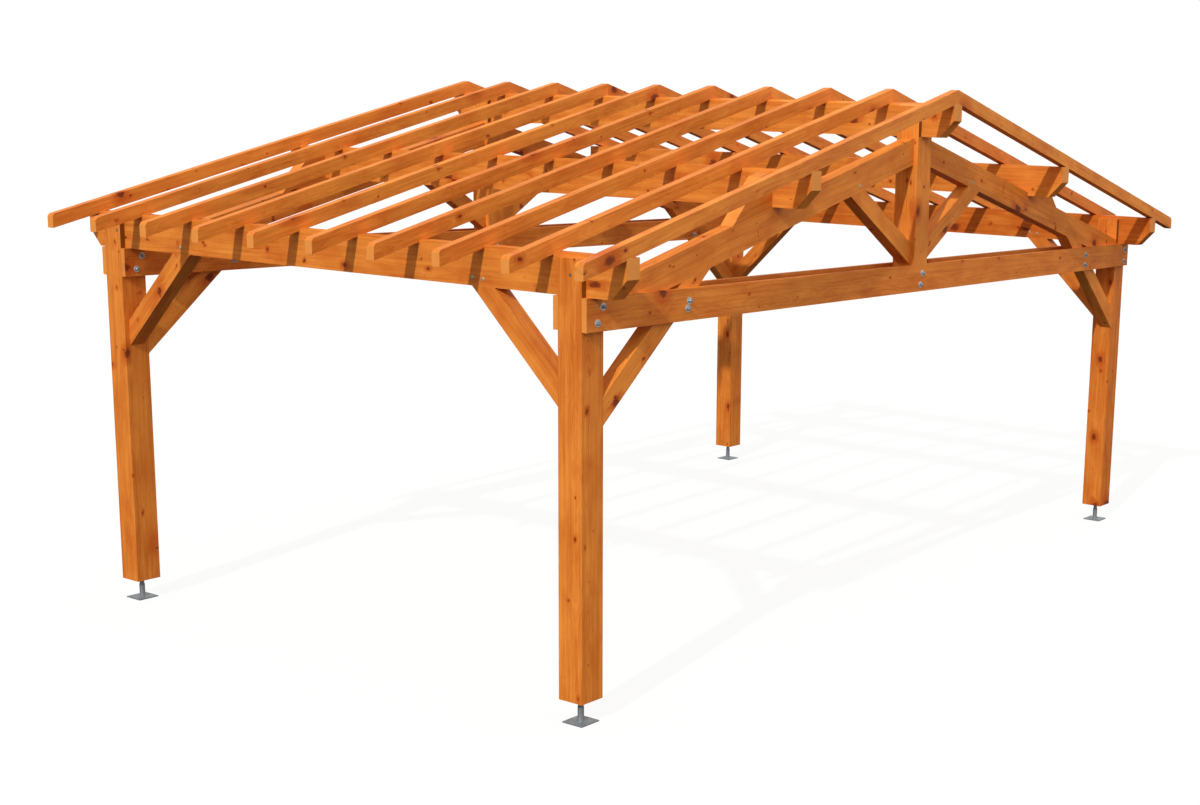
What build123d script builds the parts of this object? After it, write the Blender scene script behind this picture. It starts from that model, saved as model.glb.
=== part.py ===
from build123d import *
import math
import os

# Timber carport frame: an open gabled frame for two cars side by side.
# X runs across the gable, Y along the ridge with the front at -Y, Z up from the floor.
# The origin is on the floor under the middle of the roof. All sizes are millimetres.

# Posts and their steel feet
post_size = 200
post_span = 7700
post_bay = 4700
foot_height = 160
foot_plate_size = 170
foot_plate_thickness = 8
foot_hole_diameter = 14
foot_hole_inset = 24
foot_tube_diameter = 42
foot_tube_height = 110
foot_rod_diameter = 34
foot_disc_diameter = 80
foot_disc_thickness = 8

# Twin tie boards at each gable
tie_bottom = 2580
tie_depth = 215
tie_thickness = 40

# Purlins
purlin_width = 120
purlin_depth = 265
purlin_end_cut_length = 125
purlin_end_cut_height = 130
mid_purlin_offset = 1916
front_overhang = 430
rear_overhang = 340

# Rafters
roof_pitch = 14.6
rafter_depth = 100
rafter_thickness = 70
rafter_pairs = 10
rafter_spacing = 600
last_rafter_inset = 60
tail_overhang = 450
tail_chamfer = 16
birdsmouth_heel = 15

# Truss timbers and braces
truss_thickness = 110
chord_depth = 200
brace_depth = 140
strut_pitch = 32.2
strut_heel = 5
gable_brace_pitch = 41
gable_brace_foot = 1970
eaves_brace_pitch = 43.5
eaves_brace_foot = 2048
cleat_pitch = 47
cleat_length = 450

# Levels and lines that several timbers share
half_span = post_span / 2
half_bay = post_bay / 2
half_post = post_size / 2
half_purlin = purlin_width / 2
post_inner = half_span - half_post
post_outer = half_span + half_post
tie_top = tie_bottom + tie_depth
purlin_top = tie_top + purlin_depth
purlin_outer = half_span + half_purlin
mid_inner = mid_purlin_offset - half_purlin
mid_outer = mid_purlin_offset + half_purlin
tail_end = half_span + tail_overhang
roof_length = front_overhang + post_bay + rear_overhang
front_end = -roof_length / 2
rear_end = roof_length / 2
bay_middle = (front_overhang - rear_overhang) / 2
roof_fall = math.tan(math.radians(roof_pitch))
seat_length = birdsmouth_heel / roof_fall


# Y of what lies at a distance from the middle of the bay, towards the front (end -1) or the rear (end 1)
def along_bay(end, distance):
    return bay_middle + end * distance


# Height of the rafters' underside at a distance from the ridge
def roof_underside(reach):
    return purlin_top - birdsmouth_heel + roof_fall * (purlin_outer - reach)


# Height of the rafters' top edge at a distance from the ridge
def roof_top(reach):
    return roof_underside(reach) + rafter_depth / math.cos(math.radians(roof_pitch))


mid_top = roof_underside(mid_outer) + birdsmouth_heel
mid_bottom = mid_top - purlin_depth
ridge_bottom = roof_underside(0) - purlin_depth
post_top = roof_underside(post_outer)


# Height of a chord's top edge: it runs parallel to the roof, through the mid purlin's lower outer corner
def chord_top(reach):
    return mid_bottom + roof_fall * (mid_outer - reach)


# Height of a chord's bottom edge
def chord_bottom(reach):
    return chord_top(reach) - chord_depth / math.cos(math.radians(roof_pitch))


# Distance from the ridge at which a line rising outwards at a slope meets a line that falls with the roof
def meeting_reach(start_reach, start_height, slope, roof_line):
    return start_reach + (roof_line(start_reach) - start_height) / (slope + roof_fall)


# Steel foot: base plate with four holes, tube, narrower rod, bearing disc under the post
def make_foot(side, end):
    floor = Plane((side * half_span, along_bay(end, half_bay), 0))
    hole_pitch = foot_plate_size - 2 * foot_hole_inset
    with BuildPart(floor) as foot:
        with BuildSketch(floor):
            Rectangle(foot_plate_size, foot_plate_size)
            with GridLocations(hole_pitch, hole_pitch, 2, 2):
                Circle(foot_hole_diameter / 2, mode=Mode.SUBTRACT)
        extrude(amount=foot_plate_thickness)
        with BuildSketch(floor):
            Circle(foot_tube_diameter / 2)
        extrude(amount=foot_tube_height)
        with BuildSketch(floor):
            Circle(foot_rod_diameter / 2)
        extrude(amount=foot_height)
        with BuildSketch(floor.offset(foot_height - foot_disc_thickness)):
            Circle(foot_disc_diameter / 2)
        extrude(amount=foot_disc_thickness)
    return foot


# Post: square timber whose head is forked, so that the eaves purlin drops between two cheeks
def make_post(side, end):
    with BuildPart() as post:
        with BuildSketch(Plane((side * half_span, along_bay(end, half_bay), foot_height))):
            Rectangle(post_size, post_size)
        extrude(amount=post_top - foot_height)
        with BuildSketch(Plane((side * half_span, along_bay(end, half_bay), tie_top))):
            Rectangle(purlin_width, post_size)
        extrude(amount=post_top - tie_top, mode=Mode.SUBTRACT)
    return post


# Tie board: it clasps the posts from one side and ends flush with their outer faces
def make_tie(middle):
    with BuildPart() as tie:
        with BuildSketch(Plane((0, middle, tie_bottom))):
            Rectangle(2 * post_outer, tie_thickness)
        extrude(amount=tie_depth)
    return tie


# What is cut off the ridge purlin and the king posts above the two slopes, by X and height
above_the_slopes = [
    (0, roof_underside(0)),
    (post_size, roof_underside(post_size)),
    (post_size, roof_underside(0) + post_size),
    (-post_size, roof_underside(0) + post_size),
    (-post_size, roof_underside(post_size)),
]


# Y of a truss's front face, which lies in the plane of its posts' front faces
def truss_front(end):
    return along_bay(end, half_bay) - half_post


# King post: a tongue between the ties, a shoulder on the tie in front, a forked head for the ridge purlin
def make_king_post(end):
    tongue_front = truss_front(end)
    front = tongue_front - tie_thickness
    back = front + post_size
    corners = [
        (front, tie_top),
        (front, roof_underside(0)),
        (back, roof_underside(0)),
        (back, tie_bottom),
        (tongue_front, tie_bottom),
        (tongue_front, tie_top),
    ]
    with BuildPart() as king_post:
        with BuildSketch(Plane.YZ.offset(-half_post)):
            with BuildLine():
                Polyline(corners, close=True)
            make_face()
        extrude(amount=post_size)
        with BuildSketch(Plane((0, (front + back) / 2, ridge_bottom))):
            Rectangle(purlin_width, post_size)
        extrude(amount=purlin_depth, mode=Mode.SUBTRACT)
        with BuildSketch(Plane.XZ):
            with BuildLine():
                Polyline(above_the_slopes, close=True)
            make_face()
        extrude(amount=roof_length, both=True, mode=Mode.SUBTRACT)
    return king_post


# Timber of a truss, cut from a plank: its elevation, by distance from the ridge and height
def make_truss_timber(corners, side, end):
    with BuildPart() as timber:
        with BuildSketch(Plane.XZ.offset(-truss_front(end) - truss_thickness)):
            with BuildLine():
                Polyline([(side * reach, height) for reach, height in corners], close=True)
            make_face()
        extrude(amount=truss_thickness)
    return timber


# Chord: plumb cut on the king post, a level seat for the mid purlin, a foot between the ties
chord_corners = [
    (half_post, chord_bottom(half_post)),
    (half_post, chord_top(half_post)),
    (mid_inner, chord_top(mid_inner)),
    (mid_inner, mid_bottom),
    (mid_outer, mid_bottom),
    (post_inner, chord_top(post_inner)),
    (post_inner, chord_bottom(post_inner)),
]

# Strut: from the king post, just above the ties, to the chord's underside
strut_slope = math.tan(math.radians(strut_pitch))
strut_low = tie_top + strut_heel
strut_high = strut_low + brace_depth / math.cos(math.radians(strut_pitch))
strut_low_reach = meeting_reach(half_post, strut_low, strut_slope, chord_bottom)
strut_high_reach = meeting_reach(half_post, strut_high, strut_slope, chord_bottom)
strut_corners = [
    (half_post, strut_low),
    (half_post, strut_high),
    (strut_high_reach, chord_bottom(strut_high_reach)),
    (strut_low_reach, chord_bottom(strut_low_reach)),
]

# Gable brace: from the post, between the ties, to the chord's underside
gable_brace_slope = math.tan(math.radians(gable_brace_pitch))
gable_brace_high = gable_brace_foot + brace_depth / math.cos(math.radians(gable_brace_pitch))
gable_low_reach = meeting_reach(post_inner, gable_brace_foot, -gable_brace_slope, chord_bottom)
gable_high_reach = meeting_reach(post_inner, gable_brace_high, -gable_brace_slope, chord_bottom)
gable_brace_corners = [
    (post_inner, gable_brace_foot),
    (post_inner, gable_brace_high),
    (gable_high_reach, chord_bottom(gable_high_reach)),
    (gable_low_reach, chord_bottom(gable_low_reach)),
]

# Cleat: a wedge on the chord that stops the mid purlin from sliding down the slope
cleat_slope = math.tan(math.radians(cleat_pitch))
cleat_foot_reach = mid_outer + cleat_length
cleat_head_reach = meeting_reach(
    cleat_foot_reach, chord_top(cleat_foot_reach), -cleat_slope, roof_underside
)
cleat_corners = [
    (mid_outer, mid_bottom),
    (mid_outer, roof_underside(mid_outer)),
    (cleat_head_reach, roof_underside(cleat_head_reach)),
    (cleat_foot_reach, chord_top(cleat_foot_reach)),
]


# Both cleats of one truss, which stand well apart
def make_cleats(end):
    with BuildPart() as cleats:
        for side in (-1, 1):
            with BuildSketch(Plane.XZ.offset(-truss_front(end) - truss_thickness)):
                with BuildLine():
                    Polyline([(side * reach, height) for reach, height in cleat_corners], close=True)
                make_face()
            extrude(amount=truss_thickness)
    return cleats


# Eaves brace: from the post's face to the eaves purlin's underside, in line with the purlin
def make_eaves_brace(side, end):
    slope = math.tan(math.radians(eaves_brace_pitch))
    high = eaves_brace_foot + brace_depth / math.cos(math.radians(eaves_brace_pitch))
    start = half_bay - half_post
    corners = [
        (start, eaves_brace_foot),
        (start, high),
        (start - (tie_top - high) / slope, tie_top),
        (start - (tie_top - eaves_brace_foot) / slope, tie_top),
    ]
    with BuildPart() as brace:
        with BuildSketch(Plane.YZ.offset(side * half_span - half_purlin)):
            with BuildLine():
                Polyline([(along_bay(end, out), height) for out, height in corners], close=True)
            make_face()
        extrude(amount=purlin_width)
    return brace


# Elevation of a purlin, with both ends cut diagonally from below
def purlin_elevation(bottom, top):
    Polyline(
        (front_end, top),
        (rear_end, top),
        (rear_end, bottom + purlin_end_cut_height),
        (rear_end - purlin_end_cut_length, bottom),
        (front_end + purlin_end_cut_length, bottom),
        (front_end, bottom + purlin_end_cut_height),
        close=True,
    )


# Purlin at a distance from the ridge, with a level top
def make_purlin(middle, bottom):
    with BuildPart() as purlin:
        with BuildSketch(Plane.YZ.offset(middle - half_purlin)):
            with BuildLine():
                purlin_elevation(bottom, bottom + purlin_depth)
            make_face()
        extrude(amount=purlin_width)
    return purlin


# Rafters of one slope: plumb joint at the ridge, a birdsmouth over each purlin, plumb tail with its top
# corner taken off
rafter_corners = [
    (0, roof_underside(0)),
    (0, roof_top(0)),
    (tail_end - tail_chamfer, roof_top(tail_end - tail_chamfer)),
    (tail_end, roof_top(tail_end) - tail_chamfer),
    (tail_end, roof_underside(tail_end)),
    (purlin_outer, roof_underside(purlin_outer)),
    (purlin_outer, purlin_top),
    (purlin_outer - seat_length, purlin_top),
    (mid_outer, roof_underside(mid_outer)),
    (mid_outer, mid_top),
    (mid_outer - seat_length, mid_top),
]
rafter_fronts = [front_end + rafter_spacing * count for count in range(rafter_pairs - 1)]
rafter_fronts.append(rear_end - last_rafter_inset - rafter_thickness)


def make_rafters(side):
    with BuildPart() as rafters:
        for front in rafter_fronts:
            with BuildSketch(Plane.XZ.offset(-front - rafter_thickness)):
                with BuildLine():
                    Polyline([(side * reach, height) for reach, height in rafter_corners], close=True)
                make_face()
            extrude(amount=rafter_thickness)
    return rafters


# Labels a finished piece and writes it to its own file
def keep(piece, name):
    piece.part.label = name
    export_step(piece.part, f"parts/{name}.step")


sides = {"left": -1, "right": 1}
ends = {"front": -1, "rear": 1}

for end_name, end in ends.items():
    for side_name, side in sides.items():
        corner = f"{end_name}_{side_name}"
        keep(make_foot(side, end), f"foot_{corner}")
        keep(make_post(side, end), f"post_{corner}")
        keep(make_truss_timber(chord_corners, side, end), f"chord_{corner}")
        keep(make_truss_timber(strut_corners, side, end), f"strut_{corner}")
        keep(make_truss_timber(gable_brace_corners, side, end), f"gable_brace_{corner}")
        keep(make_eaves_brace(side, end), f"eaves_brace_{corner}")
    keep(make_king_post(end), f"king_post_{end_name}")
    keep(make_cleats(end), f"purlin_cleats_{end_name}")
    keep(make_tie(along_bay(end, half_bay + half_post + tie_thickness / 2)), f"{end_name}_outer_tie")
    keep(make_tie(along_bay(end, half_bay - half_post - tie_thickness / 2)), f"{end_name}_inner_tie")

for side_name, side in sides.items():
    keep(make_purlin(side * half_span, tie_top), f"eaves_purlin_{side_name}")
    keep(make_purlin(side * mid_purlin_offset, mid_bottom), f"mid_purlin_{side_name}")
    keep(make_rafters(side), f"{side_name}_rafters")

# Ridge purlin: its top is bevelled to both slopes, so that the rafters bear on its whole width
with BuildPart() as ridge_purlin:
    with BuildSketch(Plane.YZ.offset(-half_purlin)):
        with BuildLine():
            purlin_elevation(ridge_bottom, roof_underside(0))
        make_face()
    extrude(amount=purlin_width)
    with BuildSketch(Plane.XZ):
        with BuildLine():
            Polyline(above_the_slopes, close=True)
        make_face()
    extrude(amount=roof_length, both=True, mode=Mode.SUBTRACT)
keep(ridge_purlin, "ridge_purlin")

print("ridge top", round(roof_top(0)), "eaves purlin top", round(purlin_top))
print("clear height under the ties", tie_bottom, "clear width", 2 * post_inner)
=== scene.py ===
# %% [markdown]
# A timber carport frame, dressed for its portrait
#
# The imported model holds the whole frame: posts on steel feet, tie boards, king posts, chords, struts,
# braces, purlins and rafters. Here the timbers get their orange wood glaze, the feet get their zinc,
# and the joints get the bolts and screws that hold them. The first step loads the model and its box.

# %% Load the frame
import math

import bmesh
import bpy
from mathutils import Euler, Matrix, Vector


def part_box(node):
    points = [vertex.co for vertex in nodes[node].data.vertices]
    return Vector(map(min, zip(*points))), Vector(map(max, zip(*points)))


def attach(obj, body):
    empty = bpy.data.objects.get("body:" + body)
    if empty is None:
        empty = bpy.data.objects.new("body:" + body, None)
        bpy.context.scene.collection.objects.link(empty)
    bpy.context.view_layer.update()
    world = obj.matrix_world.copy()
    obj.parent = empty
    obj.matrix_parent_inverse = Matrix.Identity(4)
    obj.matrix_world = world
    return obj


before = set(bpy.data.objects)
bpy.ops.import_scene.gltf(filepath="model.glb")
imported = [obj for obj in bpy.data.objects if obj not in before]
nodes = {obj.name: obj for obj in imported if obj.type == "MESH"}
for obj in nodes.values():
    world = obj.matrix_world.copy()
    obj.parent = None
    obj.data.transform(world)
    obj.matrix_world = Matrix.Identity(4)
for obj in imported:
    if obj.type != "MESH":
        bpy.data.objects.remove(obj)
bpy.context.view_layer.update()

# %% [markdown]
# The camera
#
# The photograph was taken from above eye level, off the left front corner, and its frame is a crop:
# the lens axis meets it right of the middle and below it. A shifted lens gives that crop. The camera's
# three directions were solved from the corners of posts, ties, purlins and rafters.

# %% Camera
photo_width, photo_height = 1200, 805
lens_axis = (836.47, 464.28)
focal_pixels = 1733.22
camera_place = (-11.9374, -9.6474, 3.9346)

right = Vector((0.558987, -0.828682, 0.028636))
up = Vector((0.147193, 0.133157, 0.980104))
turned = Matrix((right, up, right.cross(up))).transposed().to_4x4()

camera_data = bpy.data.cameras.new("camera")
camera_data.sensor_fit = "HORIZONTAL"
camera_data.sensor_width = 36.0
camera_data.lens = focal_pixels / photo_width * camera_data.sensor_width
camera_data.shift_x = (photo_width / 2 - lens_axis[0]) / photo_width
camera_data.shift_y = (lens_axis[1] - photo_height / 2) / photo_width
camera_data.clip_end = 300.0
camera = bpy.data.objects.new("camera", camera_data)
bpy.context.collection.objects.link(camera)
camera.matrix_world = Matrix.Translation(camera_place) @ turned
bpy.context.scene.camera = camera
print("lens", round(camera_data.lens, 1), "mm")
print("shift", round(camera_data.shift_x, 3), round(camera_data.shift_y, 3))

# %% [markdown]
# Three small tools
#
# Colours are written as sRGB hex, as a paint chart gives them, and one function turns them to the
# linear values that the renderer works with. The second function empties a node tree. The third adds a
# shader node, sets it, feeds its sockets in order or by name, and hands back one output, so that a step
# of a material is one line.


# %% Colour and node helpers
def linear(hex_colour):
    channels = [int(hex_colour[i:i + 2], 16) / 255 for i in (1, 3, 5)]
    bright = [((c + 0.055) / 1.055) ** 2.4 if c > 0.04045 else c / 12.92 for c in channels]
    return (*bright, 1.0)


def empty_tree(owner):
    owner.use_nodes = True
    owner.node_tree.nodes.clear()
    return owner.node_tree


def add(tree, kind, *values, out=0, feeds=None, **settings):
    node = tree.nodes.new("ShaderNode" + kind)
    for setting, value in settings.items():
        setattr(node, setting, value)
    for socket, value in [*enumerate(values), *(feeds or {}).items()]:
        if isinstance(value, bpy.types.NodeSocket):
            tree.links.new(value, node.inputs[socket])
        else:
            node.inputs[socket].default_value = value
    return node.outputs[out] if len(node.outputs) else None


smooth = {"interpolation_type": "SMOOTHSTEP"}
mixed = {"data_type": "RGBA", "out": 2}
print("white is", linear("#FFFFFF")[:3])

# %% [markdown]
# Glazed softwood
#
# The timbers are spruce, planed and brushed with an orange wood glaze. Under the glaze the growth
# rings run along each timber as streaks, open into long flames where the log was cut near its side,
# and flow around red-brown knots. A texture picture would have to be wrapped round each timber, so
# the wood is grown instead: every timber is cut from its own log. The recipe is one node group that
# takes a point in the timber's own directions, with X along the grain. The glaze itself is thin and
# silky: its reflection is weak and blurred, so that the orange stays deep in the sun.
#
# First the log. Its heart wanders by a few centimetres, so that the rings run out at the surface and
# make flames. The distance from the heart and the turn around it are what rings and knots grow by.

# %% The recipe: a log with a wandering heart
wood = bpy.data.node_groups.new("glazed_softwood", "ShaderNodeTree")
for socket_name, kind, way in (
        ("Point", "Vector", "INPUT"), ("Tint", "Float", "INPUT"), ("End", "Float", "INPUT"),
        ("Colour", "Color", "OUTPUT"), ("Roughness", "Float", "OUTPUT"), ("Height", "Float", "OUTPUT")):
    wood.interface.new_socket(socket_name, in_out=way, socket_type="NodeSocket" + kind)
entry = wood.nodes.new("NodeGroupInput")
point = entry.outputs["Point"]

heart_wander = 0.16
knot_raggedness = 0.009
slow = add(wood, "Mapping", point, feeds={"Scale": (0.9, 2.2, 2.2)})
wander = add(wood, "TexNoise", slow, out=1, feeds={"Scale": 1.0, "Detail": 2.0, "Roughness": 0.5})
wander = add(wood, "VectorMath", wander, (-0.5, -0.5, -0.5), operation="ADD")
wander = add(wood, "VectorMath", wander, (0.0, heart_wander, heart_wander), operation="MULTIPLY")
grown = add(wood, "VectorMath", point, wander, operation="ADD")
along, across, through = add(wood, "SeparateXYZ", grown).node.outputs
from_heart = add(wood, "VectorMath", grown, (0.0, 1.0, 1.0), operation="MULTIPLY")
radius = add(wood, "VectorMath", from_heart, out="Value", operation="LENGTH")
turn = add(wood, "Math", across, through, operation="ARCTAN2")
ragged = add(wood, "TexNoise", point, feeds={"Scale": 40.0, "Detail": 3.0})
ragged = add(wood, "MapRange", ragged, 0.2, 0.8, -knot_raggedness, knot_raggedness)
print("the heart wanders by up to", heart_wander / 2, "m")

# %% [markdown]
# Knots are branches: each starts at the heart and comes out at one place along and around the log. So
# a cell pattern over length and turn places them, and each cell's luck decides how thick its branch
# is, or whether it has one. Two families are enough: branches up to 30 mm in radius, about one in
# three metres of a post's face, and pin knots of a few millimetres. Around a knot the glaze went
# redder. A family is four numbers: the length of a cell along the log in metres, how many cells go
# round the log, the largest radius in metres, and the luck below which a cell has no branch, or at
# most a speck.

# %% Knots
full_turn = 2 * math.pi
thick_branches = (0.80, 3.0, 0.030, 0.66)
pin_branches = (0.36, 4.0, 0.007, 0.45)

core, rim, halo, bulge = 0.0, 0.0, 0.0, 0.0
for knot_pitch, knots_around, knot_radius, luck_needed in (thick_branches, pin_branches):
    place = add(wood, "CombineXYZ", add(wood, "Math", along, knot_pitch, operation="DIVIDE"),
                add(wood, "Math", turn, knots_around / full_turn, operation="MULTIPLY"))
    cell = add(wood, "TexVoronoi", place, out="Position", voronoi_dimensions="2D",
               feeds={"Scale": 1.0, "Randomness": 0.95})
    luck = add(wood, "SeparateColor", cell.node.outputs["Color"])
    size = add(wood, "MapRange", luck, luck_needed, 1.0, 0.0, knot_radius)
    step = add(wood, "VectorMath", place, cell, operation="SUBTRACT")
    back_to_metres = (knot_pitch * 0.65, full_turn / knots_around, 0.0)
    step = add(wood, "VectorMath", step, back_to_metres, operation="MULTIPLY")
    step_along, step_round, unused = add(wood, "SeparateXYZ", step).node.outputs
    step_round = add(wood, "Math", step_round, radius, operation="MULTIPLY")
    step = add(wood, "CombineXYZ", step_along, step_round)
    reach = add(wood, "VectorMath", step, out="Value", operation="LENGTH")
    reach = add(wood, "Math", reach, ragged, operation="ADD")
    never_zero = add(wood, "Math", size, 0.0003, operation="ADD")
    reach = add(wood, "Math", reach, never_zero, operation="DIVIDE")
    here = add(wood, "MapRange", reach, 1.15, 0.50, **smooth)
    core = add(wood, "Math", core, here, operation="MAXIMUM")
    edge = add(wood, "MapRange", reach, 1.5, 0.9, **smooth)
    inside = add(wood, "MapRange", reach, 0.5, 0.9, **smooth)
    edge = add(wood, "Math", edge, inside, operation="MULTIPLY")
    rim = add(wood, "Math", rim, edge, operation="MAXIMUM")
    reddened = add(wood, "MapRange", reach, 4.6, 0.9, **smooth)
    halo = add(wood, "Math", halo, reddened, operation="MAXIMUM")
    push = add(wood, "MapRange", reach, 4.0, 0.3, **smooth)
    push = add(wood, "Math", push, size, operation="MULTIPLY")
    bulge = add(wood, "Math", bulge, push, operation="ADD")
    print("knots up to", knot_radius * 2000, "mm across, one place in", knot_pitch, "m")

# %% [markdown]
# Growth rings of spruce are 2 to 5 mm wide. That is finer than the picture can show from this
# distance, so the rings here are 9 mm wide, which still reads as grain on a 200 mm post. The wood
# bulges around a knot, each ring darkens slowly and ends sharply, and a fine fibre runs through all of
# it. Soft clouds, a hand or two long, are the glaze: it lies thicker in places and is redder there.

# %% Rings, fibres and glaze
ring_width = 0.009
fibre = add(wood, "Mapping", point, feeds={"Scale": (1.6, 55.0, 55.0)})
fibre = add(wood, "TexNoise", fibre, feeds={"Scale": 1.0, "Detail": 3.0, "Roughness": 0.62})
ring_place = add(wood, "Math", radius, bulge, operation="ADD")
ring_place = add(wood, "Math", fibre, 0.005, ring_place, operation="MULTIPLY_ADD")
ring = add(wood, "Math", ring_place, ring_width, operation="DIVIDE")
ring = add(wood, "Math", ring, operation="FRACT")
late_wood = add(wood, "Math", add(wood, "Math", ring, 2.0, operation="POWER"),
                add(wood, "MapRange", ring, 1.0, 0.9, **smooth), operation="MULTIPLY")
years = add(wood, "CombineXYZ", add(wood, "Math", ring_place, 30.0, operation="MULTIPLY"),
            add(wood, "Math", along, 0.4, operation="MULTIPLY"))
years = add(wood, "TexNoise", years, feeds={"Scale": 1.0, "Detail": 2.0})
cloud_place = add(wood, "Mapping", point, feeds={"Scale": (2.6, 6.5, 6.5)})
cloud = add(wood, "TexNoise", cloud_place, feeds={"Scale": 1.0, "Detail": 4.0, "Roughness": 0.58})
red_place = {"Location": (9.1, 3.3, 5.7), "Scale": (3.4, 7.5, 7.5)}
red_place = add(wood, "Mapping", point, feeds=red_place)
red_cloud = add(wood, "TexNoise", red_place, feeds={"Scale": 1.0, "Detail": 3.0, "Roughness": 0.6})

usual_darkness = 0.48
thin_glaze, thick_glaze = linear("#EE943A"), linear("#C4621A")

darkness = entry.outputs["Tint"]
for pattern, low, high, share in (
        (late_wood, 0.0, 1.0, 0.26), (years, 0.3, 0.7, 0.36),
        (fibre, 0.25, 0.75, 0.60), (cloud, 0.3, 0.7, 0.50)):
    swing = add(wood, "MapRange", pattern, low, high, -share / 2, share / 2)
    darkness = add(wood, "Math", darkness, swing, operation="ADD")
darkness = add(wood, "Math", darkness, usual_darkness, operation="ADD", use_clamp=True)
colour = add(wood, "Mix", feeds={0: darkness, 6: thin_glaze, 7: thick_glaze}, **mixed)
for pattern, low, high, share, shade in (
        (red_cloud, 0.50, 0.72, 0.36, "#C4550C"), (halo, 0.0, 1.0, 0.62, "#BE4C0A"),
        (core, 0.0, 1.0, 0.90, "#74260A"), (rim, 0.0, 1.0, 0.45, "#4E1804"),
        (entry.outputs["End"], 0.0, 1.0, 0.7, "#E8994A")):
    amount = add(wood, "MapRange", pattern, low, high, 0.0, share, **smooth)
    colour = add(wood, "Mix", feeds={0: amount, 6: colour, 7: linear(shade)}, **mixed)

leave = wood.nodes.new("NodeGroupOutput")
wood.links.new(colour, leave.inputs["Colour"])
roughness = add(wood, "MapRange", darkness, 0.0, 1.0, 0.60, 0.50)
wood.links.new(roughness, leave.inputs["Roughness"])
height = add(wood, "Math", core, -0.6, late_wood, operation="MULTIPLY_ADD")
wood.links.new(height, leave.inputs["Height"])
print("rings", ring_width * 1000, "mm")

# %% [markdown]
# One log for each timber
#
# The recipe needs to know where a timber's grain runs and where its heart lies. A post is sawn
# with the heart inside, so all four faces show flames. A board or a rafter is sawn from the side of
# the log. The grain directions come from the slopes of the frame: 14.6 degrees for the roof, 32.2 for
# the struts, 41 and 43.5 for the braces. The ten rafters of a slope share one node, so a count along
# the ridge gives each of them wood of its own.
#
# Where a face looks along the grain it is a sawn end, which is paler. On the narrow faces of the cheeks
# of the forked heads, beside a purlin, a dark brown is painted in: it is painted shade for the slot of
# the fork. The tie boards are tinted darker than the other timbers, and on the right eaves purlin and
# the front right post the darker tint is painted shade.


# %% Which way the grain runs
def grain_direction(name):
    side = -1 if "left" in name else 1
    end = -1 if "front" in name else 1
    runs = {"rafters": ((-side, 0, 0), 14.6), "chord": ((-side, 0, 0), 14.6),
            "cleats": ((-1, 0, 0), 14.6), "strut": ((side, 0, 0), 32.2),
            "gable_brace": ((-side, 0, 0), 41.0), "eaves_brace": ((0, -end, 0), 43.5),
            "tie": ((1, 0, 0), 0.0), "purlin": ((0, 1, 0), 0.0), "post": ((0, 0, 0), 90.0)}
    for piece, (level, slope) in runs.items():
        if piece in name:
            slope = math.radians(slope)
            return Vector(level) * math.cos(slope) + Vector((0, 0, math.sin(slope)))


print("a left rafter's grain", [round(number, 3) for number in grain_direction("left_rafters")])

# %% [markdown]
# Each timber gets its own material. The heart's place says from which part of the log the timber was
# sawn, and the timber's number moves it along the log, so that no two show the same knots. Factors
# such as 12.9 and 7.3 only keep the draws of different timbers apart. The two cleats of a gable share
# a node and are mirror images, so theirs is made from the distance to the middle of the gable.

# %% Give every timber its wood
rafter_spacing, rafter_thickness = 0.6, 0.07
cleat_inner_reach = 0.9
# The ties are tinted darker; on the right eaves purlin and the front right post the darker tint is
# painted shade.
darker_tint_and_painted_shade = (("tie", 0.15), ("eaves_purlin_right", 0.45), ("post_front_right", 0.2))
heart_beside_board, heart_in_beam = (0.15, 0.03), (0.035, -0.05)
next_log, next_rafter_log = 3.7, 5.3
tint_swing, rafter_tint_swing = 0.09, 0.16


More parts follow.
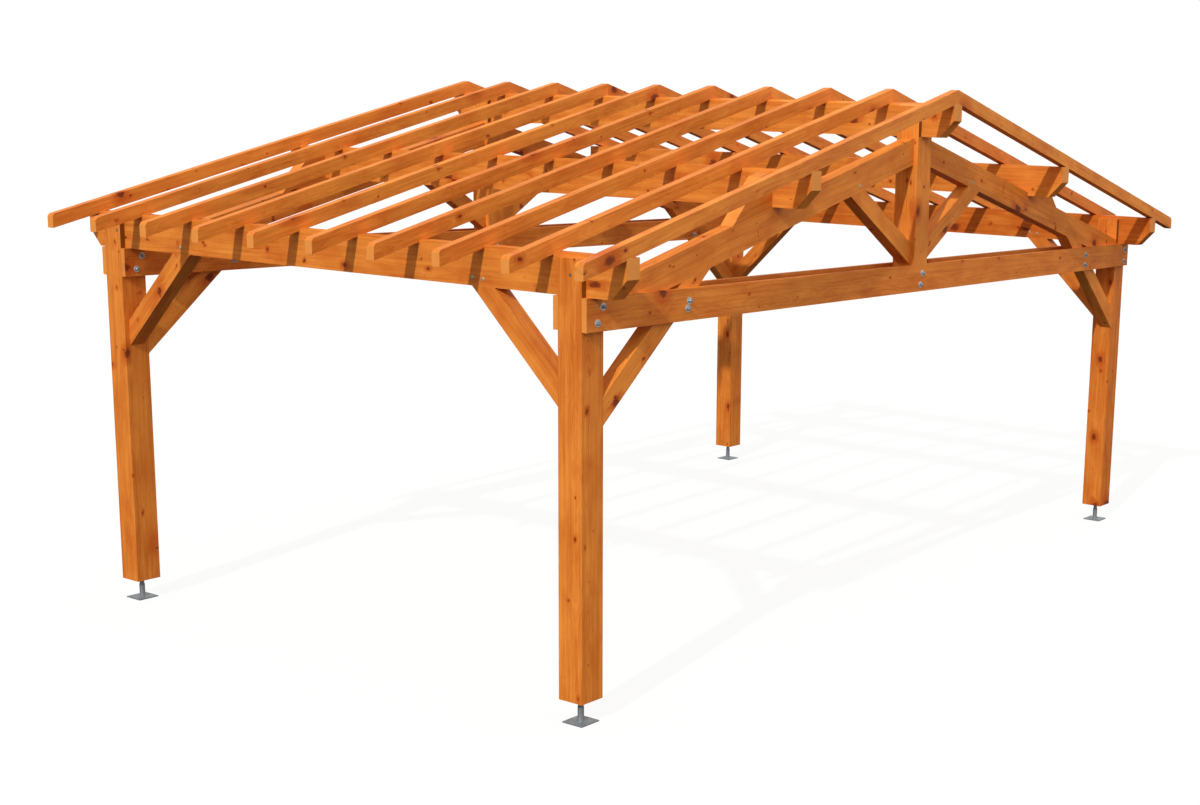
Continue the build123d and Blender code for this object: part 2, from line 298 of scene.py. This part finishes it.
def glazed_timber(name, number):
    material = bpy.data.materials.new("glazed_softwood_" + name)
    tree = empty_tree(material)
    low, high = (Vector(corner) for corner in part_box(name))
    middle = (low + high) / 2
    grain = grain_direction(name)
    sideways = Vector((0, 1, 0)) if abs(grain.y) < 0.1 else Vector((1, 0, 0))
    timber_axes = Matrix((grain, sideways, grain.cross(sideways)))
    from_the_side = "tie" in name or "rafters" in name
    heart = Vector((next_log * number, *(heart_beside_board if from_the_side else heart_in_beam)))
    place = add(tree, "TexCoord", out="Object")
    tint = tint_swing * math.sin(12.9 * number)
    tint += sum(share for timber, share in darker_tint_and_painted_shade if timber in name)
    shift = 0.0
    if "rafters" in name:
        x, y, z = add(tree, "SeparateXYZ", place).node.outputs
        count = add(tree, "Math", y, low.y, operation="SUBTRACT")
        count = add(tree, "Math", count, rafter_spacing, operation="DIVIDE")
        count = add(tree, "Math", count, operation="ROUND")
        y = add(tree, "Math", count, -rafter_spacing, y, operation="MULTIPLY_ADD")
        place = add(tree, "CombineXYZ", x, y, z)
        middle.y = low.y + rafter_thickness / 2
        draw = add(tree, "Math", count, 7.3 * number, operation="ADD")
        luck = add(tree, "TexWhiteNoise", feeds={"W": draw}, noise_dimensions="1D")
        shift = add(tree, "Math", count, luck, operation="ADD")
        shift = add(tree, "Math", shift, next_rafter_log, operation="MULTIPLY")
        tint = add(tree, "MapRange", luck, 0.0, 1.0, -rafter_tint_swing, rafter_tint_swing)
    if "cleats" in name:
        x, y, z = add(tree, "SeparateXYZ", place).node.outputs
        place = add(tree, "CombineXYZ", add(tree, "Math", x, operation="ABSOLUTE"), y, z)
        shift = add(tree, "Math", x, operation="SIGN")
        middle.x = (high.x + cleat_inner_reach) / 2
    turned_in = {"Rotation": timber_axes.to_euler("XYZ"), "Location": heart - timber_axes @ middle}
    point = add(tree, "Mapping", place, vector_type="POINT", feeds=turned_in)
    point = add(tree, "VectorMath", point, add(tree, "CombineXYZ", shift), operation="ADD")
    facing = add(tree, "NewGeometry", out="True Normal")
    end_grain = add(tree, "VectorMath", facing, grain, out="Value", operation="DOT_PRODUCT")
    end_grain = add(tree, "Math", end_grain, operation="ABSOLUTE")
    end_grain = add(tree, "MapRange", end_grain, 0.8, 0.95)
    fed = {"Point": point, "End": end_grain, "Tint": tint}
    colour, roughness, height = add(tree, "Group", feeds=fed, node_tree=wood).node.outputs
    # Painted shade: post-head faces that look along Y, above the purlin's underside, are mixed to dark
    # brown.
    if "post" in name:
        fork_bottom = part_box("ridge_purlin" if "king" in name else "eaves_purlin_left")[0][2]
        level = add(tree, "SeparateXYZ", place, out="Z")
        sidelong = add(tree, "SeparateXYZ", facing, out="Y")
        sidelong = add(tree, "Math", sidelong, operation="ABSOLUTE")
        cheek_shade_mask = add(tree, "MapRange", level, fork_bottom - 0.001, fork_bottom + 0.002)
        cheek_shade_mask = add(tree, "Math", cheek_shade_mask, sidelong, operation="MULTIPLY")
        colour = add(tree, "Mix", feeds={0: cheek_shade_mask, 6: colour, 7: linear("#894D09")}, **mixed)
    surface = add(tree, "BsdfPrincipled", feeds={
        "Base Color": colour,
        "Roughness": roughness,
        "IOR": 1.5,
        "Specular IOR Level": 0.22,
        "Normal": add(tree, "Bump", feeds={"Height": height, "Strength": 0.5, "Distance": 0.0006}),
    })
    add(tree, "OutputMaterial", surface)
    return material


def dress(name, material):
    slots = nodes[name].material_slots
    for slot in slots:
        slot.material = material
    if not slots:
        nodes[name].data.materials.append(material)


timbers = sorted(name for name in nodes if not name.startswith("foot_"))
for number, name in enumerate(timbers):
    dress(name, glazed_timber(name, number))
print(len(timbers), "timbers have their own wood")

# %% [markdown]
# Zinc
#
# The post feet, bolts, washers and nuts are steel that was dipped in molten zinc. The zinc froze in
# crystals of about 12 mm, each a slightly different grey, and has turned dull outdoors: a grey with a
# soft shine. Its skin is part metal and part oxide, so the metallic value lies between the two and the
# roughness is fairly high. The washers are painted paler, and the nuts a paler, bluer grey: that
# paleness is painted reflection, which keeps them bright in the shade of the faces they sit on.


# %% Hot-dip galvanised steel
crystal_width = 0.012


def zinc_coated(name, pale, dark, roughest):
    material = bpy.data.materials.new(name)
    tree = empty_tree(material)
    place = add(tree, "TexCoord", out="Object")
    crystal = add(tree, "TexVoronoi", place, out="Color", feeds={"Scale": 1 / crystal_width})
    crystal = add(tree, "SeparateColor", crystal)
    weathering = add(tree, "TexNoise", place, feeds={"Scale": 14.0, "Detail": 4.0})
    weathered = add(tree, "Math", weathering, 0.55, operation="MULTIPLY")
    grey = add(tree, "Math", crystal, 0.45, weathered, operation="MULTIPLY_ADD")
    surface = add(tree, "BsdfPrincipled", feeds={
        "Base Color": add(tree, "Mix", feeds={0: grey, 6: linear(dark), 7: linear(pale)}, **mixed),
        "Metallic": 0.6,
        "Roughness": add(tree, "MapRange", grey, 0.2, 0.8, roughest, roughest - 0.14, **smooth),
        "Normal": add(tree, "Bump", feeds={"Height": weathering, "Strength": 0.3, "Distance": 0.0005}),
    })
    add(tree, "OutputMaterial", surface)
    return material


zinc = zinc_coated("galvanised_steel", "#A9B0B6", "#7E868D", 0.56)
# Painted reflection: the washers and nuts get paler greys than the feet, so that they stay bright in
# shade.
washer_zinc_painted_reflection = zinc_coated("galvanised_washers", "#DDE3E8", "#B4BCC4", 0.50)
nut_zinc_painted_reflection = zinc_coated("galvanised_nuts", "#B2BDC8", "#828D98", 0.42)
screw_zinc = zinc_coated("yellow_zinc_screws", "#CFC9B0", "#A69F84", 0.55)
feet = sorted(name for name in nodes if name.startswith("foot_"))
for name in feet:
    dress(name, zinc)
print(len(feet), "feet are galvanised")

# %% [markdown]
# Bolts and screws
#
# The heavy joints are drawn tight by 16 mm bolts: where a bolt comes through there is a round washer,
# a hexagon nut and a short end of thread. The light joints have timber screws with a wafer head of
# 28 mm. In the cheeks of the forked heads the real screws sit in a drilled hole, which shows as a dark
# spot. Each kind is one mesh with its axis along Z, and a copy of it is turned to each place.


# %% Turned shapes
def turned_profile(mesh, profile, steps, slot=0):
    angles = [full_turn * k / steps for k in range(steps)]
    rings = [[mesh.verts.new((ring_radius * math.cos(angle), ring_radius * math.sin(angle), height))
              for angle in angles] for ring_radius, height in profile]
    faces = [mesh.faces.new(rings[-1]), mesh.faces.new(list(reversed(rings[0])))]
    for lower, upper in zip(rings, rings[1:]):
        for k in range(steps):
            after = (k + 1) % steps
            faces.append(mesh.faces.new((lower[k], lower[after], upper[after], upper[k])))
    for face in faces:
        face.material_index = slot


def fastener(name, parts, materials):
    mesh = bmesh.new()
    for profile, steps, slot in parts:
        turned_profile(mesh, profile, steps, slot)
    data = bpy.data.meshes.new(name)
    mesh.to_mesh(data)
    mesh.free()
    for material in materials:
        data.materials.append(material)
    return data


print("a fastener is turned from profiles of radius and height, in metres")

# %% [markdown]
# The profiles run from the timber outwards. A thread of 2 mm pitch stands out of the nut by six turns.

# %% Bolts and screws
thread_radius, thread_root, thread_pitch, nut_top = 0.008, 0.0071, 0.002, 0.017
thread = []
for turn_count in range(6):
    start = nut_top + thread_pitch * turn_count
    thread += [(thread_radius, start), (thread_root, start + thread_pitch / 2)]
washer = [(0.025, 0.0), (0.025, 0.0034), (0.0244, 0.004)]
nut = [(0.0139, 0.004), (0.0139, 0.015), (0.0125, nut_top)]
bolt_parts = [(washer, 32, 0), (nut, 6, 1), (thread, 20, 1)]
bolt_mesh = fastener("bolt_end", bolt_parts, [washer_zinc_painted_reflection, nut_zinc_painted_reflection])

wafer = [(0.014, 0.0), (0.014, 0.001), (0.012, 0.0026), (0.0055, 0.003), (0.005, 0.0012)]
screw_mesh = fastener("screw_head", [(wafer, 28, 0)], [screw_zinc])
print("bolt faces", len(bolt_mesh.polygons), "screw faces", len(screw_mesh.polygons))

# %% [markdown]
# The hole of a sunk screw is 23 mm wide, with rough end grain at its bottom. The timber's own mesh
# stays whole, so from outside the hole is drawn as a disc, 0.6 mm thick, in a dark brown that is
# painted shade for the depth of the hole, with the screw's head in the middle of it.

# %% Sunk screws
# Painted shade: this dark brown disc stands in for the shade inside the screw hole.
drilled = bpy.data.materials.new("sunk_hole_painted_shade")
tree = empty_tree(drilled)
hole_shade_noise = add(tree, "TexCoord", out="Object")
hole_shade_noise = add(tree, "TexNoise", hole_shade_noise, feeds={"Scale": 400.0, "Detail": 2.0})
hole_shade_noise = add(tree, "Mix", feeds={0: hole_shade_noise, 6: linear("#3F2410"), 7: linear("#8A5A30")}, **mixed)
surface = add(tree, "BsdfPrincipled", feeds={"Base Color": hole_shade_noise, "Roughness": 0.85})
add(tree, "OutputMaterial", surface)

hole = [(0.0115, 0.0), (0.0115, 0.0006)]
sunk_head = [(0.006, 0.0006), (0.006, 0.0012)]
sunk_mesh = fastener("sunk_screw", [(hole, 24, 0), (sunk_head, 12, 1)], [drilled, nut_zinc_painted_reflection])
print("hole", hole[0][0] * 2000, "mm across, drawn", hole[1][1] * 1000, "mm thick")

# %% [markdown]
# One function puts a fastener on a face, looking out of it. Each is turned a little further than the
# last, since nobody lines up nuts.

# %% Put a fastener on a face
spin_step = 0.7
outwards = {"-Y": Euler((math.pi / 2, 0, 0)), "+Y": Euler((-math.pi / 2, 0, 0)),
            "-X": Euler((0, -math.pi / 2, 0)), "+X": Euler((0, math.pi / 2, 0))}
fasteners = []


def fasten(mesh, where, facing):
    name = f"{mesh.name}_{len(fasteners)}"
    thing = bpy.data.objects.new(name, mesh)
    bpy.context.collection.objects.link(thing)
    spin = Matrix.Rotation(spin_step * len(fasteners), 4, "Z")
    upright = outwards[facing].to_matrix().to_4x4()
    thing.matrix_world = Matrix.Translation(where) @ upright @ spin
    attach(thing, "root")
    fasteners.append(thing)


# %% [markdown]
# Where they sit
#
# Two bolts clamp the tie boards to each post, to the king post and to each gable brace. Screws hold
# the strut heads in the chords. Both sit on the two outer faces of a joint. Places along X and Z are
# read from the photograph, and the faces come from the boxes of the timbers.

# %% Fasteners of the two trusses
tie_bolts = ((-3.80, 2.735), (-3.85, 2.635), (3.87, 2.735), (3.865, 2.625), (0.035, 2.725),
             (0.01, 2.635), (-2.942, 2.712), (-2.96, 2.662), (3.0, 2.726), (3.0, 2.633))
strut_screws = (("left", -0.857), ("right", 0.86))
strut_screw_height = 3.43

for end, outer_side, inner_side in (("front", "-Y", "+Y"), ("rear", "+Y", "-Y")):
    outer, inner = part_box(end + "_outer_tie"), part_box(end + "_inner_tie")
    outer_y, inner_y = (outer[0][1], inner[1][1]) if end == "front" else (outer[1][1], inner[0][1])
    for x, z in tie_bolts:
        fasten(bolt_mesh, (x, outer_y, z), outer_side)
        fasten(bolt_mesh, (x, inner_y, z), inner_side)
    for side, x in strut_screws:
        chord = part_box(f"chord_{end}_{side}")
        fasten(screw_mesh, (x, chord[0][1], strut_screw_height), "-Y")
        fasten(screw_mesh, (x, chord[1][1], strut_screw_height), "+Y")
print(len(fasteners), "on the trusses")

# %% [markdown]
# Along the eaves, screws through both faces of the purlin hold the braces under it. The sunk screws are
# in the outer cheeks of the post heads.

# %% Fasteners along the eaves
brace_screws = ((-1.515, 2.842), (-1.425, 2.850), (1.622, 2.842))
cheek_screws = (-2.310, 2.334)
cheek_screw_height = 2.93

for side, outer_side, inner_side in (("left", "-X", "+X"), ("right", "+X", "-X")):
    out, back = (0, 1) if side == "left" else (1, 0)
    purlin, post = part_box("eaves_purlin_" + side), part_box("post_front_" + side)
    for y, z in brace_screws:
        fasten(screw_mesh, (purlin[out][0], y, z), outer_side)
        fasten(screw_mesh, (purlin[back][0], y, z), inner_side)
    for y in cheek_screws:
        fasten(sunk_mesh, (post[out][0], y, cheek_screw_height), outer_side)
print(len(fasteners), "bolt ends and screw heads")

# %% [markdown]
# Floor, sky and sun
#
# The photograph is a cut-out on white with hard sunlight from the left. The floor and the sky are
# white to the camera, and the floor keeps a pale shadow. What they send to the timbers is plainer: a
# sky that is a little brighter towards the front, and little light from below, so that undersides stay
# deep brown. The floor comes first: to the camera a white glow and a little caught sunlight, which the
# shadow takes away again, and to the timbers a dull grey.

# %% The floor
floor_reach = 90
corners = [(x * floor_reach, y * floor_reach, 0) for x, y in ((-1, -1), (1, -1), (1, 1), (-1, 1))]
floor_mesh = bpy.data.meshes.new("floor")
floor_mesh.from_pydata(corners, [], [(0, 1, 2, 3)])
floor = bpy.data.objects.new("floor", floor_mesh)
bpy.context.collection.objects.link(floor)

floor_white = bpy.data.materials.new("floor_white")
tree = empty_tree(floor_white)
seen = add(tree, "LightPath", out="Is Camera Ray")
lit = add(tree, "BsdfDiffuse", (0.10, 0.10, 0.10, 1))
glow = add(tree, "Emission", (1, 1, 1, 1), 0.89)
white = add(tree, "AddShader", lit, glow)
dull = add(tree, "BsdfDiffuse", (0.06, 0.06, 0.06, 1))
add(tree, "OutputMaterial", add(tree, "MixShader", seen, dull, white))
floor_mesh.materials.append(floor_white)
print("floor", 2 * floor_reach, "m wide")

# %% [markdown]
# The sky's brightness is a level plus a lean: the lean is how much brighter it grows towards +X, and
# how much brighter towards the front, where -Y is.

# %% The sky
sky_level, sky_lean = 0.90, (0.10, -0.27, 0.0)

world = bpy.data.worlds.new("sky")
bpy.context.scene.world = world
tree = empty_tree(world)
seen = add(tree, "LightPath", out="Is Camera Ray")
direction = add(tree, "TexCoord", out="Generated")
brightness = add(tree, "VectorMath", direction, sky_lean, out="Value", operation="DOT_PRODUCT")
brightness = add(tree, "Math", brightness, sky_level, operation="ADD")
sky = add(tree, "Background", (1.0, 0.96, 0.90, 1), brightness)
white_sky = add(tree, "Background", (1, 1, 1, 1), 1.0)
add(tree, "OutputWorld", add(tree, "MixShader", seen, sky, white_sky))
print("sky brightness", sky_level, "give or take", round(Vector(sky_lean).length, 2))

# %% [markdown]
# The sun stands at 35 degrees: the shadow of the purlin end on the tie board gives its height, and the
# rafters' shadows on the eaves purlin give its direction. It is small in the sky, so the shadows have
# sharp edges. A sun of strength pi lights a face turned to it just as bright as its colour is written,
# so the strength is given as a share of pi, and the sky adds the rest.

# %% The sun
sun_share = 0.70
sunlight = Vector((1.4, 0.33, -1.0)).normalized()

sun_data = bpy.data.lights.new("sun", "SUN")
sun_data.energy = sun_share * math.pi
sun_data.angle = math.radians(1.2)
sun = bpy.data.objects.new("sun", sun_data)
bpy.context.collection.objects.link(sun)
sun.rotation_euler = sunlight.to_track_quat("-Z", "Y").to_euler()
bpy.context.scene.view_settings.view_transform = "Standard"
print("sun height", round(math.degrees(math.asin(-sunlight.z)), 1), "degrees")
